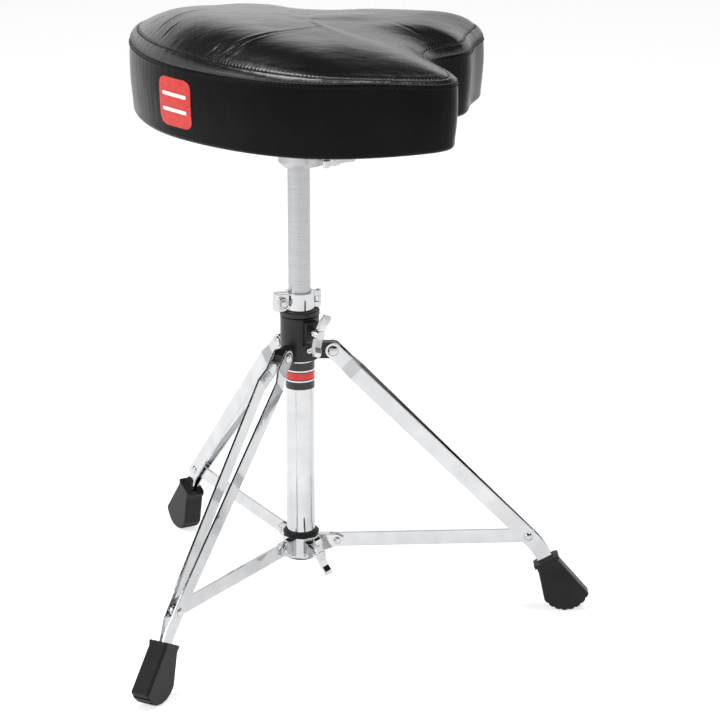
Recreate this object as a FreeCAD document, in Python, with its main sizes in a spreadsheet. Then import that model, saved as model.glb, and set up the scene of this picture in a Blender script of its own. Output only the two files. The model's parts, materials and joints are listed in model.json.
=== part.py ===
import FreeCAD, Part
import math
import os
import Sketcher

# A folding drum throne: a tripod base of twin-strap legs with a sliding collar, a height-adjustable
# post with a memory lock, and a saddle-shaped padded seat on a swivelling clamp bracket.
# Millimetres. The post axis is vertical, leg 1 points along +X, and the floor is at z = 0.

SIZES = {
    # post, base tube and what guides them
    "post_diameter": 22.2, "post_wall": 2.0, "post_bottom": 180.0, "post_top": 498.0,
    "tube_diameter": 28.6, "tube_wall": 1.8, "tube_bottom": 58.5,
    "running_gap": 0.05, "sliding_gap": 0.08, "clear_gap": 0.3,
    "plug_depth": 8.0, "plug_flange": 1.5,
    "bushing_depth": 30.0, "flange_height": 5.2, "flange_diameter": 39.6,
    "band_bottom": 237.0, "band_top": 264.5, "band_thickness": 0.35,
    # hub at the top of the base tube
    "hub_wall": 5.0, "hub_bottom": 267.0, "hub_top": 312.0,
    "lug_width": 10.0, "lug_height": 16.5, "lug_nose": 7.0,
    "leg_pivot_radius": 33.0, "leg_pivot_height": 275.5,
    "boss_reach": 26.0, "boss_width": 13.5, "boss_bottom": 290.0, "boss_top": 309.0,
    "hub_bolt_height": 300.0, "set_screw_height": 279.0, "clamp_angle": -60.0,
    # legs
    "strap_width": 15.5, "strap_thickness": 2.2, "joggle_start": 18.7, "joggle_end": 31.7,
    "joggle_gap": 18.0, "knee_gap": 6.8, "toe_gap": 3.0, "knee_flat": 10.5, "knee_length": 14.0,
    "strut_pivot_radius": 229.5, "strut_pivot_height": 78.5, "strap_bend": 18.0, "bend_radius": 80.0,
    "toe_straight": 33.0, "pivot_pin_diameter": 6.0, "pivot_head": 11.0, "strut_pin_diameter": 5.0,
    "strut_head": 8.8, "dome_height": 2.6,
    # feet
    "foot_width": 20.0, "foot_mouth": 24.0, "foot_heel": 25.0, "foot_centre_radius": 267.5,
    "tread_depth": 1.5, "tread_teeth": 8, "tread_arc": 130.0, "foot_corner": 2.6,
    "lip_height": 3.6, "lip_proud": 1.4,
    "strap_socket": 29.0,
    # struts and collar
    "strut_width": 14.5, "strut_thickness": 2.4, "collar_bottom": 60.0, "collar_top": 81.0,
    "collar_wall": 3.5, "collar_sides": 9, "collar_pivot_radius": 36.5, "collar_pivot_height": 74.5,
    "fork_width": 9.2, "fork_radius": 6.2, "collar_boss_reach": 26.0, "collar_boss_width": 14.0,
    "collar_bolt_height": 70.5, "ring_bottom": 82.0, "ring_top": 86.0, "ring_wall": 3.9,
    # memory lock
    "lock_height": 17.5, "lock_ring": 3.4, "lock_turn": 20.0, "lock_split": 1.2, "lock_ear": 26.5,
    "lock_ear_depth": 6.0, "lock_bolt_radius": 20.0, "lock_pin_radius": 19.0, "lock_knuckle": 3.4,
    "lock_pin_diameter": 3.0,
    "key_bolt_diameter": 5.0, "key_head": 11.5,
    # wing bolts
    "bolt_diameter": 8.0, "bolt_boss": 12.0, "wing_span": 43.0, "wing_thickness": 7.0, "wing_tilt": 18.0,
    "hub_bolt_stand": 8.0, "seat_bolt_stand": 12.0,
    # seat
    "seat_turn": 27.5, "seat_bottom": 512.0, "seat_top": 614.0, "seat_length": 355.0,
    "seat_back": 153.0, "seat_half_width": 207.5, "crown_radius": 760.0,
    "board_inset": 9.0, "board_thickness": 12.0, "cover_thickness": 0.8,
    "bracket_bottom": 461.0, "bracket_diameter": 40.0, "bracket_flange": 112.0, "flange_thickness": 5.5,
    "bracket_chamfer": 5.0, "seat_bolt_height": 474.0, "seat_bolt_angle": -42.0, "bracket_boss_reach": 31.0,
    "screw_circle": 84.0, "screw_diameter": 6.0, "screw_head": 11.0, "tnut_barrel": 8.0,
    "tnut_flange": 19.0, "tnut_plate": 1.5,
}

doc = FreeCAD.newDocument("drum_throne")
sheet = doc.addObject("Spreadsheet::Sheet", "Sizes")
for row, (alias, number) in enumerate(SIZES.items(), start=1):
    sheet.set("A%d" % row, alias)
    sheet.set("B%d" % row, str(number))
    sheet.setAlias("B%d" % row, alias)
doc.recompute()

parts = []
V = FreeCAD.Vector
LEG_ANGLES = (0.0, 120.0, 240.0)
SCREW_ANGLES = (45, 135, 225, 315)
HUB_RADIUS = "(Sizes.tube_diameter / 2 + Sizes.hub_wall)"
COLLAR_RADIUS = "(Sizes.tube_diameter / 2 + Sizes.collar_wall)"
RING_RADIUS = "(Sizes.tube_diameter / 2 + Sizes.ring_wall)"
LOCK_BOTTOM = "Sizes.hub_top + Sizes.flange_height + Sizes.clear_gap"


def size(alias):
    """The number that the sheet holds under this alias."""
    return float(sheet.get(alias))


def turn_about_z(angle):
    return FreeCAD.Placement(V(0, 0, 0), FreeCAD.Rotation(V(0, 0, 1), angle))


def new_body(label):
    body = doc.addObject("PartDesign::Body", label)
    body.Label = label
    return body


def keep(thing, placement=None):
    """Lists a finished sub-part, in its place."""
    doc.recompute()
    if placement is not None:
        thing.Placement = placement
    parts.append(thing)
    return thing


def origin_plane(body, role):
    return [item for item in body.Origin.OriginFeatures if item.Role == role][0]


def new_sketch(body, role, name, height=None):
    sketch = body.newObject("Sketcher::SketchObject", body.Name + "_" + name)
    sketch.AttachmentSupport = [(origin_plane(body, role), "")]
    sketch.MapMode = "FlatFace"
    if height is not None:
        sketch.setExpression("AttachmentOffset.Base.z", height)
    return sketch


def bind_point(sketch, geometry, point, across, up):
    """Fixes one point of a sketch at two expressions, measured from the sketch's origin."""
    for kind, text in (("DistanceX", across), ("DistanceY", up)):
        index = sketch.addConstraint(Sketcher.Constraint(kind, -1, 1, geometry, point, 1.0))
        sketch.setExpression("Constraints[%d]" % index, text)


def polygon(sketch, corners):
    """A closed polygon whose corners are pairs of expressions."""
    count = len(corners)
    start = len(sketch.Geometry)
    step = 2 * math.pi / count
    ring = [V(10 * math.cos(step * i), 10 * math.sin(step * i), 0) for i in range(count)]
    sketch.addGeometry([Part.LineSegment(ring[i], ring[(i + 1) % count]) for i in range(count)], False)
    for i in range(count):
        after = start + (i + 1) % count
        sketch.addConstraint(Sketcher.Constraint("Coincident", start + i, 2, after, 1))
    for i, (across, up) in enumerate(corners):
        bind_point(sketch, start + i, 1, across, up)


def circle(sketch, radius, across="0", up="0"):
    index = sketch.addGeometry(Part.Circle(V(1, 1, 0), V(0, 0, 1), 1.0), False)
    bind_point(sketch, index, 3, across, up)
    rule = sketch.addConstraint(Sketcher.Constraint("Radius", index, 1.0))
    sketch.setExpression("Constraints[%d]" % rule, radius)


def revolve(body, corners, name="profile"):
    """Turns a polygon of (radius, height) expressions about the body's Z axis."""
    sketch = new_sketch(body, "XZ_Plane", name)
    polygon(sketch, corners)
    solid = body.newObject("PartDesign::Revolution", body.Name + "_" + name + "_turned")
    solid.Profile = sketch
    solid.ReferenceAxis = (sketch, ["V_Axis"])
    solid.Angle = 360.0
    doc.recompute()
    return solid


def pad(body, sketch, length, both_sides=True, backwards=False):
    solid = body.newObject("PartDesign::Pad", sketch.Name + "_pad")
    solid.Profile = sketch
    solid.setExpression("Length", length)
    solid.SideType = "Symmetric" if both_sides else "One side"
    solid.Reversed = backwards
    doc.recompute()
    return solid


def pocket(body, sketch, length, both_sides=True, backwards=False):
    """Cuts a sketch out of the body and makes sure that material came away."""
    before = body.Shape.Volume
    cut = body.newObject("PartDesign::Pocket", sketch.Name + "_cut")
    cut.Profile = sketch
    cut.setExpression("Length", length)
    cut.SideType = "Symmetric" if both_sides else "One side"
    cut.Reversed = backwards
    doc.recompute()
    if not body.Shape.Volume < before - 0.01:
        raise RuntimeError(cut.Name + " cuts nothing")
    return cut


def three_times(body, features):
    """Repeats features three times about the body's Z axis."""
    pattern = body.newObject("PartDesign::PolarPattern", body.Name + "_around_" + features[0].Name)
    pattern.Originals = features
    pattern.Axis = (features[0].Profile[0], ["V_Axis"])
    pattern.Angle = 360.0
    pattern.Occurrences = len(LEG_ANGLES)
    body.Tip = pattern
    doc.recompute()
    return pattern


def closed_sketch(body, role, name, edges, height=None):
    """A sketch of curves that are worked out from the sheet's sizes."""
    sketch = new_sketch(body, role, name, height)
    sketch.addGeometry(edges, False)
    doc.recompute()
    return sketch


def straight_edges(corners):
    count = len(corners)
    return [Part.LineSegment(V(*corners[i], 0), V(*corners[(i + 1) % count], 0)) for i in range(count)]


def dome_pin(radius, head_radius, head_height, reach_low, reach_high, head_low=True, head_high=True):
    """A pin along Z from reach_low to reach_high, with domed heads outside those two heights."""
    pin = Part.makeCylinder(radius, reach_high - reach_low, V(0, 0, reach_low))
    ball = (head_radius ** 2 + head_height ** 2) / (2 * head_height)
    for wanted, face, way in ((head_low, reach_low, -1), (head_high, reach_high, 1)):
        if wanted:
            sphere = Part.makeSphere(ball, V(0, 0, face + way * (head_height - ball)))
            slab = Part.makeCylinder(head_radius, head_height, V(0, 0, min(face, face + way * head_height)))
            pin = pin.fuse(sphere.common(slab))
    return pin


def plain_feature(label, shape, placement=None):
    """A sub-part whose shape is set here, from the sheet's sizes."""
    feature = doc.addObject("Part::Feature", label)
    feature.Label = label
    feature.Shape = shape
    return keep(feature, placement or FreeCAD.Placement())


# ---------------------------------------------------------------- base tube, plug, bushing, band

def make_base_tube():
    body = new_body("base_tube")
    inner = "Sizes.tube_diameter / 2 - Sizes.tube_wall"
    outer = "Sizes.tube_diameter / 2"
    revolve(body, [(inner, "Sizes.tube_bottom"), (outer, "Sizes.tube_bottom"),
                   (outer, "Sizes.hub_top"), (inner, "Sizes.hub_top")])
    cut_bolt_hole(body, "Sizes.hub_bolt_height")
    keep(body, turn_about_z(size("clamp_angle")))


def cut_bolt_hole(body, height, extra="Sizes.clear_gap"):
    """A radial hole for a clamping bolt, from the axis towards the body's own +X."""
    sketch = new_sketch(body, "YZ_Plane", "bolt_hole")
    circle(sketch, "Sizes.bolt_diameter / 2 + " + extra, "0", height)
    pocket(body, sketch, "Sizes.bracket_flange", both_sides=False, backwards=True)


def make_tube_end_plug():
    body = new_body("tube_end_plug")
    outer = "Sizes.tube_diameter / 2"
    inner = "Sizes.tube_diameter / 2 - Sizes.tube_wall - Sizes.running_gap"
    low = "Sizes.tube_bottom - Sizes.plug_flange"
    revolve(body, [("0", low), (outer, low), (outer, "Sizes.tube_bottom"), (inner, "Sizes.tube_bottom"),
                   (inner, "Sizes.tube_bottom + Sizes.plug_depth"),
                   ("0", "Sizes.tube_bottom + Sizes.plug_depth")])
    keep(body)


def make_hub_bushing():
    body = new_body("hub_bushing")
    bore = "Sizes.post_diameter / 2 + Sizes.running_gap"
    sleeve = "Sizes.tube_diameter / 2 - Sizes.tube_wall - Sizes.running_gap"
    flange = "Sizes.flange_diameter / 2"
    low = "Sizes.hub_top - Sizes.bushing_depth"
    top = "Sizes.hub_top + Sizes.flange_height"
    revolve(body, [(bore, low), (sleeve, low), (sleeve, "Sizes.hub_top"), (flange, "Sizes.hub_top"),
                   (flange, top + " - 1"), (flange + " - 1", top), (bore, top)])
    cut_bolt_hole(body, "Sizes.hub_bolt_height")
    keep(body, turn_about_z(size("clamp_angle")))


def make_label_band():
    body = new_body("label_band")
    inner = "Sizes.tube_diameter / 2 + Sizes.running_gap"
    outer = inner + " + Sizes.band_thickness"
    revolve(body, [(inner, "Sizes.band_bottom"), (outer, "Sizes.band_bottom"),
                   (outer, "Sizes.band_top"), (inner, "Sizes.band_top")])
    keep(body)


# ---------------------------------------------------------------- hub

def make_hub():
    """A sleeve with three lugs and a clamping boss. Its own +X is the boss, and one lug is along -X."""
    body = new_body("hub")
    outer = HUB_RADIUS
    revolve(body, [("0", "Sizes.hub_bottom"), (outer + " - 1", "Sizes.hub_bottom"),
                   (outer, "Sizes.hub_bottom + 1"), (outer, "Sizes.hub_top - 1.5"),
                   (outer + " - 1.5", "Sizes.hub_top"), ("0", "Sizes.hub_top")])

    lug = new_sketch(body, "XZ_Plane", "lug")
    nose = "-Sizes.leg_pivot_radius - Sizes.lug_nose"
    top = "Sizes.hub_bottom + Sizes.lug_height"
    polygon(lug, [("-Sizes.post_diameter / 2", "Sizes.hub_bottom"),
                  ("-Sizes.leg_pivot_radius", "Sizes.hub_bottom"),
                  (nose, "Sizes.leg_pivot_height - Sizes.lug_nose / 2"),
                  (nose, "Sizes.leg_pivot_height + Sizes.lug_nose / 2"),
                  ("-Sizes.leg_pivot_radius", top), ("-Sizes.post_diameter / 2", top)])
    lug_pad = pad(body, lug, "Sizes.lug_width")

    hole = new_sketch(body, "XZ_Plane", "pivot_hole")
    circle(hole, "Sizes.pivot_pin_diameter / 2 + Sizes.running_gap", "-Sizes.leg_pivot_radius",
           "Sizes.leg_pivot_height")
    hole_cut = pocket(body, hole, "Sizes.lug_width * 2")
    three_times(body, [lug_pad, hole_cut])

    boss = new_sketch(body, "XZ_Plane", "boss")
    polygon(boss, [("0", "Sizes.boss_bottom - 6"), (HUB_RADIUS, "Sizes.boss_bottom - 6"),
                   ("Sizes.boss_reach", "Sizes.boss_bottom"), ("Sizes.boss_reach", "Sizes.boss_top - 2"),
                   ("Sizes.boss_reach - 2", "Sizes.boss_top"), ("0", "Sizes.boss_top")])
    pad(body, boss, "Sizes.boss_width")

    bore = new_sketch(body, "XY_Plane", "bore")
    circle(bore, "Sizes.tube_diameter / 2 + Sizes.running_gap")
    pocket(body, bore, "Sizes.hub_top * 3")
    cut_bolt_hole(body, "Sizes.hub_bolt_height", "Sizes.running_gap")

    screw_hole = new_sketch(body, "YZ_Plane", "screw_hole")
    circle(screw_hole, "Sizes.key_bolt_diameter / 2 - 0.5 + Sizes.running_gap", "0", "Sizes.set_screw_height")
    pocket(body, screw_hole, "Sizes.bracket_flange", both_sides=False, backwards=True)
    keep(body, turn_about_z(size("clamp_angle")))


def make_hub_set_screw():
    body = new_body("hub_set_screw")
    shank = "Sizes.key_bolt_diameter / 2 - 0.5"
    root = "Sizes.tube_diameter / 2 + Sizes.clear_gap"
    seat = HUB_RADIUS + " + Sizes.running_gap"
    revolve(body, [("0", root), (shank, root), (shank, seat), (shank + " + 1.3", seat),
                   (shank + " + 1.3", seat + " + 1.2"), (shank + " + 0.5", seat + " + 2"),
                   ("0", seat + " + 2")])
    slot = new_sketch(body, "XY_Plane", "slot", seat + " + 2")
    polygon(slot, [("-0.4", "-2.4"), ("0.4", "-2.4"), ("0.4", "2.4"), ("-0.4", "2.4")])
    pocket(body, slot, "2")
    along = FreeCAD.Placement(V(0, 0, size("set_screw_height")), FreeCAD.Rotation(V(0, 1, 0), 90))
    keep(body, turn_about_z(size("clamp_angle")).multiply(along))


def make_leg_pivot_pins():
    """Three peened pins through the hub's lugs and the straps outside them."""
    half = size("lug_width") / 2 + 2 * size("clear_gap") + size("strap_thickness")
    pin = dome_pin(size("pivot_pin_diameter") / 2, size("pivot_head") / 2, size("dome_height"), -half, half)
    pin.Placement = FreeCAD.Placement(V(size("leg_pivot_radius"), 0, size("leg_pivot_height")),
                                      FreeCAD.Rotation(V(1, 0, 0), 90))
    plain_feature("leg_pivot_pins", around_legs(pin))


def around_legs(shape):
    """One copy of a shape at each leg, as separate solids."""
    copies = []
    for angle in LEG_ANGLES:
        copy = shape.copy()
        copy.rotate(V(0, 0, 0), V(0, 0, 1), angle)
        copies.append(copy)
    return Part.makeCompound(copies)


# ---------------------------------------------------------------- legs

def leg_reach():
    """Distance from the hub pivot to the strut pivot, and the leg's angle from the vertical."""
    out = size("strut_pivot_radius") - size("leg_pivot_radius")
    down = size("leg_pivot_height") - size("strut_pivot_height")
    return math.hypot(out, down), math.atan2(out, down)


def leg_frame(angle):
    """A leg's own frame: X down along the leg, Y outwards across it, Z sideways."""
    lean = leg_reach()[1]
    along = V(math.sin(lean), 0, -math.cos(lean))
    across = V(math.cos(lean), 0, math.sin(lean))
    place = FreeCAD.Placement(V(size("leg_pivot_radius"), 0, size("leg_pivot_height")),
                              FreeCAD.Rotation(along, across, along.cross(across)))
    return turn_about_z(angle).multiply(place)


def strap_bend_points(offset):
    """Start, middle and end of the strap's bend, and the toe, at this distance across the strap."""
    start = leg_reach()[0] + 2.0
    radius = size("bend_radius")
    bend = math.radians(size("strap_bend"))
    points = []
    for turned in (0.0, bend / 2, bend):
        points.append(V(start + (radius + offset) * math.sin(turned),
                        (radius + offset) * math.cos(turned) - radius, 0))
    toe = points[2] + V(math.cos(bend), -math.sin(bend), 0) * size("toe_straight")
    return points + [toe]


def strap_side_edges():
    """The strap seen from the side: a round top, a straight run, a bend and a straight toe."""
    half = size("strap_width") / 2
    outer = strap_bend_points(half)
    inner = strap_bend_points(-half)
    return [Part.Arc(V(0, -half, 0), V(-half, 0, 0), V(0, half, 0)),
            Part.LineSegment(V(0, half, 0), outer[0]),
            Part.Arc(outer[0], outer[1], outer[2]),
            Part.LineSegment(outer[2], outer[3]),
            Part.LineSegment(outer[3], inner[3]),
            Part.LineSegment(inner[3], inner[2]),
            Part.Arc(inner[2], inner[1], inner[0]),
            Part.LineSegment(inner[0], V(0, -half, 0))]


def strap_stations():
    """(distance along the leg, expression for the strap's inner face from the leg's middle plane)."""
    reach = leg_reach()[0]
    knee_start = reach - size("knee_flat")
    knee_end = reach + size("knee_flat")
    beside_lug = "(Sizes.lug_width / 2 + Sizes.clear_gap)"
    return [(-size("strap_width"), beside_lug), (size("joggle_start"), beside_lug),
            (size("joggle_end"), "Sizes.joggle_gap / 2"), (knee_start, "Sizes.knee_gap / 2"),
            (knee_end, "Sizes.knee_gap / 2"), (knee_end + size("knee_length"), "Sizes.toe_gap / 2"),
            (reach + 2 * size("toe_straight") + 20, "Sizes.toe_gap / 2")]


def make_strap(label, side, angle):
    """One flat strap: its side outline met with its edge-on outline, then drilled for both pivots."""
    flat = doc.addObject("PartDesign::Body", label + "_flat")
    pad(flat, closed_sketch(flat, "XY_Plane", "side", strap_side_edges()), "Sizes.joggle_gap * 3")
    for name, distance, bore in (("hub_hole", 0.0, "Sizes.pivot_pin_diameter"),
                                 ("strut_hole", leg_reach()[0], "Sizes.strut_pin_diameter")):
        hole = new_sketch(flat, "XY_Plane", name)
        circle(hole, bore + " / 2 + Sizes.running_gap", "%.4f" % distance, "0")
        pocket(flat, hole, "Sizes.joggle_gap * 4")

    edge_on = doc.addObject("PartDesign::Body", label + "_edge_on")
    sketch = new_sketch(edge_on, "XZ_Plane", "edge_on")
    sign = "" if side > 0 else "-1 * "
    near = [("%.4f" % s, sign + face) for s, face in strap_stations()]
    far = [("%.4f" % s, "%s(%s + Sizes.strap_thickness)" % (sign, face)) for s, face in strap_stations()]
    polygon(sketch, near + far[::-1])
    pad(edge_on, sketch, "Sizes.strap_width * 8")

    strap = doc.addObject("Part::MultiCommon", label)
    strap.Label = label
    strap.Shapes = [flat, edge_on]
    keep(strap, leg_frame(angle))


def make_strut_pivot_rivets(label, angle):
    """Two stub rivets, one in each strap, that stop short of the strut between them."""
    inner = size("strut_thickness") / 2 + size("clear_gap")
    outer = size("knee_gap") / 2 + size("strap_thickness")
    shank = size("strut_pin_diameter") / 2
    high = dome_pin(shank, size("strut_head") / 2, size("dome_height"), inner, outer, head_low=False)
    collar = Part.makeCylinder(size("strut_head") / 2, size("knee_gap") / 2 - inner, V(0, 0, inner))
    stub = high.fuse(collar)
    stub.translate(V(leg_reach()[0], 0, 0))
    other = stub.mirror(V(0, 0, 0), V(0, 0, 1))
    plain_feature(label, Part.makeCompound([stub, other]), leg_frame(angle))


# ---------------------------------------------------------------- feet

# Half-tooth steps of the tread on the hub's side of the tooth that stands on the floor.
TEETH_INSIDE = 6


def leg_plane_point(point):
    """A point of the leg's own frame, as (radius, height) in the upright plane through the axis."""
    place = leg_frame(0.0).multVec(point)
    return V(place.x, place.z, 0)


def foot_mouth():
    """Middle of the foot's mouth, and the foot's direction and its normal in the upright plane."""
    edge = strap_bend_points(0.0)
    start = leg_plane_point(edge[2])
    down = (leg_plane_point(edge[3]) - start).normalize()
    return start + down * (size("toe_straight") - size("strap_socket")), down, V(-down.y, down.x, 0)


def tread_angle(steps):
    """Angle on the tread, in half-tooth steps, from the start of the tooth that stands on the floor."""
    return math.radians(270.0) + tread_step() * (steps - 0.5)


def tread_step():
    return math.radians(size("tread_arc")) / (2 * size("tread_teeth") - 1)


def tread_point(steps, radius):
    """A point of the tread, whose lowest tooth just reaches the floor."""
    angle = tread_angle(steps)
    height = size("foot_heel") * math.cos(tread_step() / 2)
    return V(size("foot_centre_radius") + radius * math.cos(angle), height + radius * math.sin(angle), 0)


def foot_side_edges():
    """The foot seen from the side: a narrow mouth, two flanks and a round tread."""
    mouth, down, across = foot_mouth()
    half = size("foot_mouth") / 2
    heel = size("foot_heel")
    last = 2 * size("tread_teeth") - 1 - TEETH_INSIDE
    shoulder_in = mouth - across * half + down * 8
    shoulder_out = mouth + across * half + down * 6
    inner = tread_point(-TEETH_INSIDE, heel)
    outer = tread_point(last, heel)
    return [Part.LineSegment(mouth + across * half, mouth - across * half),
            Part.LineSegment(mouth - across * half, shoulder_in),
            Part.LineSegment(shoulder_in, inner),
            Part.Arc(inner, tread_point((last - TEETH_INSIDE) / 2, heel), outer),
            Part.LineSegment(outer, shoulder_out),
            Part.LineSegment(shoulder_out, mouth + across * half)]


def tread_notches():
    """Outlines of the notches between the tread's teeth."""
    notches = []
    for tooth in range(int(size("tread_teeth")) - 1):
        first = 2 * tooth + 1 - TEETH_INSIDE
        proud = size("foot_heel") + 1
        deep = size("foot_heel") - size("tread_depth")
        corners = [tread_point(first, proud), tread_point(first + 0.15, deep),
                   tread_point(first + 0.85, deep), tread_point(first + 1, proud)]
        notches.append([(corner.x, corner.y) for corner in corners])
    return notches


def band_outline(start, end, half):
    """A rectangle across the foot between two distances below its mouth."""
    mouth, down, across = foot_mouth()
    corners = [mouth + down * start - across * half, mouth + down * end - across * half,
               mouth + down * end + across * half, mouth + down * start + across * half]
    return [(corner.x, corner.y) for corner in corners]


def make_foot(label, angle):
    body = new_body(label)
    side = closed_sketch(body, "XZ_Plane", "side", foot_side_edges())
    solid = pad(body, side, "Sizes.foot_width")
    face = size("foot_width") / 2
    mouth = foot_mouth()[0]
    rim = []
    for index, edge in enumerate(solid.Shape.Edges, start=1):
        middle = edge.CenterOfMass
        at_mouth = math.hypot(middle.x - mouth.x, middle.z - mouth.y) < 0.5
        if abs(abs(middle.y) - face) < 0.01 and not at_mouth:
            rim.append("Edge%d" % index)
    soft = body.newObject("PartDesign::Fillet", label + "_soft_edges")
    soft.Base = (solid, rim)
    soft.setExpression("Radius", "Sizes.foot_corner")
    body.Tip = soft
    doc.recompute()

    half = size("foot_mouth") / 2 + size("lip_proud")
    lip = closed_sketch(body, "XZ_Plane", "lip", straight_edges(band_outline(0.0, size("lip_height"), half)))
    pad(body, lip, "Sizes.foot_width - 2 * Sizes.lip_proud")
    for order, notch in enumerate(tread_notches()):
        pocket(body, closed_sketch(body, "XZ_Plane", "notch_%d" % order, straight_edges(notch)),
               "Sizes.foot_width * 2")
    floor = new_sketch(body, "XZ_Plane", "floor")
    reach = "Sizes.foot_centre_radius + Sizes.foot_heel"
    polygon(floor, [("0", "0"), (reach, "0"), (reach, "-5"), ("0", "-5")])
    pocket(body, floor, "Sizes.foot_width * 2")

    socket_half = size("strap_width") / 2 + size("clear_gap")
    deep = size("strap_socket") + size("clear_gap")
    socket = closed_sketch(body, "XZ_Plane", "socket", straight_edges(band_outline(-1.0, deep, socket_half)))
    pocket(body, socket, "Sizes.toe_gap + 2 * Sizes.strap_thickness + 2 * Sizes.clear_gap")
    keep(body, turn_about_z(angle))


# ---------------------------------------------------------------- struts and collar

def make_strut(label, angle):
    """A flat bar from the collar's fork to the gap between a leg's straps."""
    body = new_body(label)
    inner = (size("collar_pivot_radius"), size("collar_pivot_height"))
    outer = (size("strut_pivot_radius"), size("strut_pivot_height"))
    span = math.hypot(outer[0] - inner[0], outer[1] - inner[1])
    half = size("strut_width") / 2
    edges = [Part.LineSegment(V(0, half, 0), V(span, half, 0)),
             Part.Arc(V(span, half, 0), V(span + half, 0, 0), V(span, -half, 0)),
             Part.LineSegment(V(span, -half, 0), V(0, -half, 0)),
             Part.Arc(V(0, -half, 0), V(-half, 0, 0), V(0, half, 0))]
    pad(body, closed_sketch(body, "XZ_Plane", "bar", edges), "Sizes.strut_thickness")
    holes = new_sketch(body, "XZ_Plane", "holes")
    circle(holes, "Sizes.strut_pin_diameter / 2 + Sizes.running_gap")
    circle(holes, "Sizes.strut_pin_diameter / 2 + Sizes.running_gap", "%.4f" % span)
    pocket(body, holes, "Sizes.strut_thickness * 3")
    rise = math.degrees(math.atan2(outer[1] - inner[1], outer[0] - inner[0]))
    place = FreeCAD.Placement(V(inner[0], 0, inner[1]), FreeCAD.Rotation(V(0, 1, 0), -rise))
    keep(body, turn_about_z(angle).multiply(place))


def make_collar():
    """A faceted sliding collar. Its own +X is the clamping boss, and one fork is along -X."""
    body = new_body("collar")
    prism = new_sketch(body, "XY_Plane", "facets", "Sizes.collar_bottom")
    sides = int(size("collar_sides"))
    corner = COLLAR_RADIUS + " / cos(180 / Sizes.collar_sides)"
    turn = 360.0 / sides
    polygon(prism, [("%s * cos(%.4f)" % (corner, turn * (i + 0.5)),
                     "%s * sin(%.4f)" % (corner, turn * (i + 0.5)))
                    for i in range(sides)])
    pad(body, prism, "Sizes.collar_top - Sizes.collar_bottom", both_sides=False)

    fork = new_sketch(body, "XZ_Plane", "fork")
    nose = "-Sizes.collar_pivot_radius - Sizes.fork_radius"
    top = "Sizes.collar_pivot_height + Sizes.fork_radius"
    low = "Sizes.collar_pivot_height - Sizes.fork_radius"
    polygon(fork, [("-Sizes.post_diameter / 2", "Sizes.collar_bottom + 2"),
                   ("-" + COLLAR_RADIUS, "Sizes.collar_bottom + 2"), ("-Sizes.collar_pivot_radius", low),
                   (nose, "Sizes.collar_pivot_height - Sizes.fork_radius / 2"),
                   (nose, "Sizes.collar_pivot_height + Sizes.fork_radius / 2"),
                   ("-Sizes.collar_pivot_radius", top), ("-Sizes.post_diameter / 2", top)])
    fork_pad = pad(body, fork, "Sizes.fork_width")
    slot = new_sketch(body, "XZ_Plane", "slot")
    back = "-Sizes.collar_pivot_radius + Sizes.strut_width / 2 + 2 * Sizes.clear_gap"
    polygon(slot, [(back, "Sizes.collar_bottom - 1"), (nose + " - 1", "Sizes.collar_bottom - 1"),
                   (nose + " - 1", "Sizes.collar_top + 9"), (back, "Sizes.collar_top + 9")])
    slot_cut = pocket(body, slot, "Sizes.strut_thickness + 2 * Sizes.clear_gap")
    hole = new_sketch(body, "XZ_Plane", "pivot_hole")
    circle(hole, "Sizes.strut_pin_diameter / 2 + Sizes.running_gap", "-Sizes.collar_pivot_radius",
           "Sizes.collar_pivot_height")
    hole_cut = pocket(body, hole, "Sizes.fork_width * 2")
    three_times(body, [fork_pad, slot_cut, hole_cut])

    boss = new_sketch(body, "XZ_Plane", "boss")
    polygon(boss, [("0", "Sizes.collar_bottom"), ("Sizes.collar_boss_reach", "Sizes.collar_bottom + 3"),
                   ("Sizes.collar_boss_reach", "Sizes.collar_top - 3"), ("0", "Sizes.collar_top")])
    pad(body, boss, "Sizes.collar_boss_width")
    bore = new_sketch(body, "XY_Plane", "bore")
    circle(bore, "Sizes.tube_diameter / 2 + Sizes.sliding_gap")
    pocket(body, bore, "Sizes.collar_top * 3")
    cut_bolt_hole(body, "Sizes.collar_bolt_height", "Sizes.running_gap")
    keep(body, turn_about_z(size("clamp_angle")))


def make_collar_ring():
    body = new_body("collar_ring")
    inner = "Sizes.tube_diameter / 2 + Sizes.clear_gap"
    outer = RING_RADIUS
    revolve(body, [(inner, "Sizes.ring_bottom"), (outer + " - 1.5", "Sizes.ring_bottom"),
                   (outer, "Sizes.ring_bottom + 1.5"), (outer, "Sizes.ring_top - 1.5"),
                   (outer + " - 1.5", "Sizes.ring_top"), (inner, "Sizes.ring_top")])
    keep(body)


def make_collar_washer():
    """A short nylon sleeve between the collar and its bump ring."""
    body = new_body("collar_washer")
    inner = "Sizes.tube_diameter / 2 + Sizes.clear_gap"
    outer = RING_RADIUS + " - 2"
    revolve(body, [(inner, "Sizes.collar_top"), (outer, "Sizes.collar_top"),
                   (outer, "Sizes.ring_bottom"), (inner, "Sizes.ring_bottom")])
    keep(body)


def make_collar_pins():
    half = size("fork_width") / 2 + size("running_gap")
    pin = dome_pin(size("strut_pin_diameter") / 2, size("strut_head") / 2 - 0.6, 1.6, -half, half)
    pin.Placement = FreeCAD.Placement(V(size("collar_pivot_radius"), 0, size("collar_pivot_height")),
                                      FreeCAD.Rotation(V(1, 0, 0), 90))
    plain_feature("collar_pins", around_legs(pin))


# ---------------------------------------------------------------- post and memory lock

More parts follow.
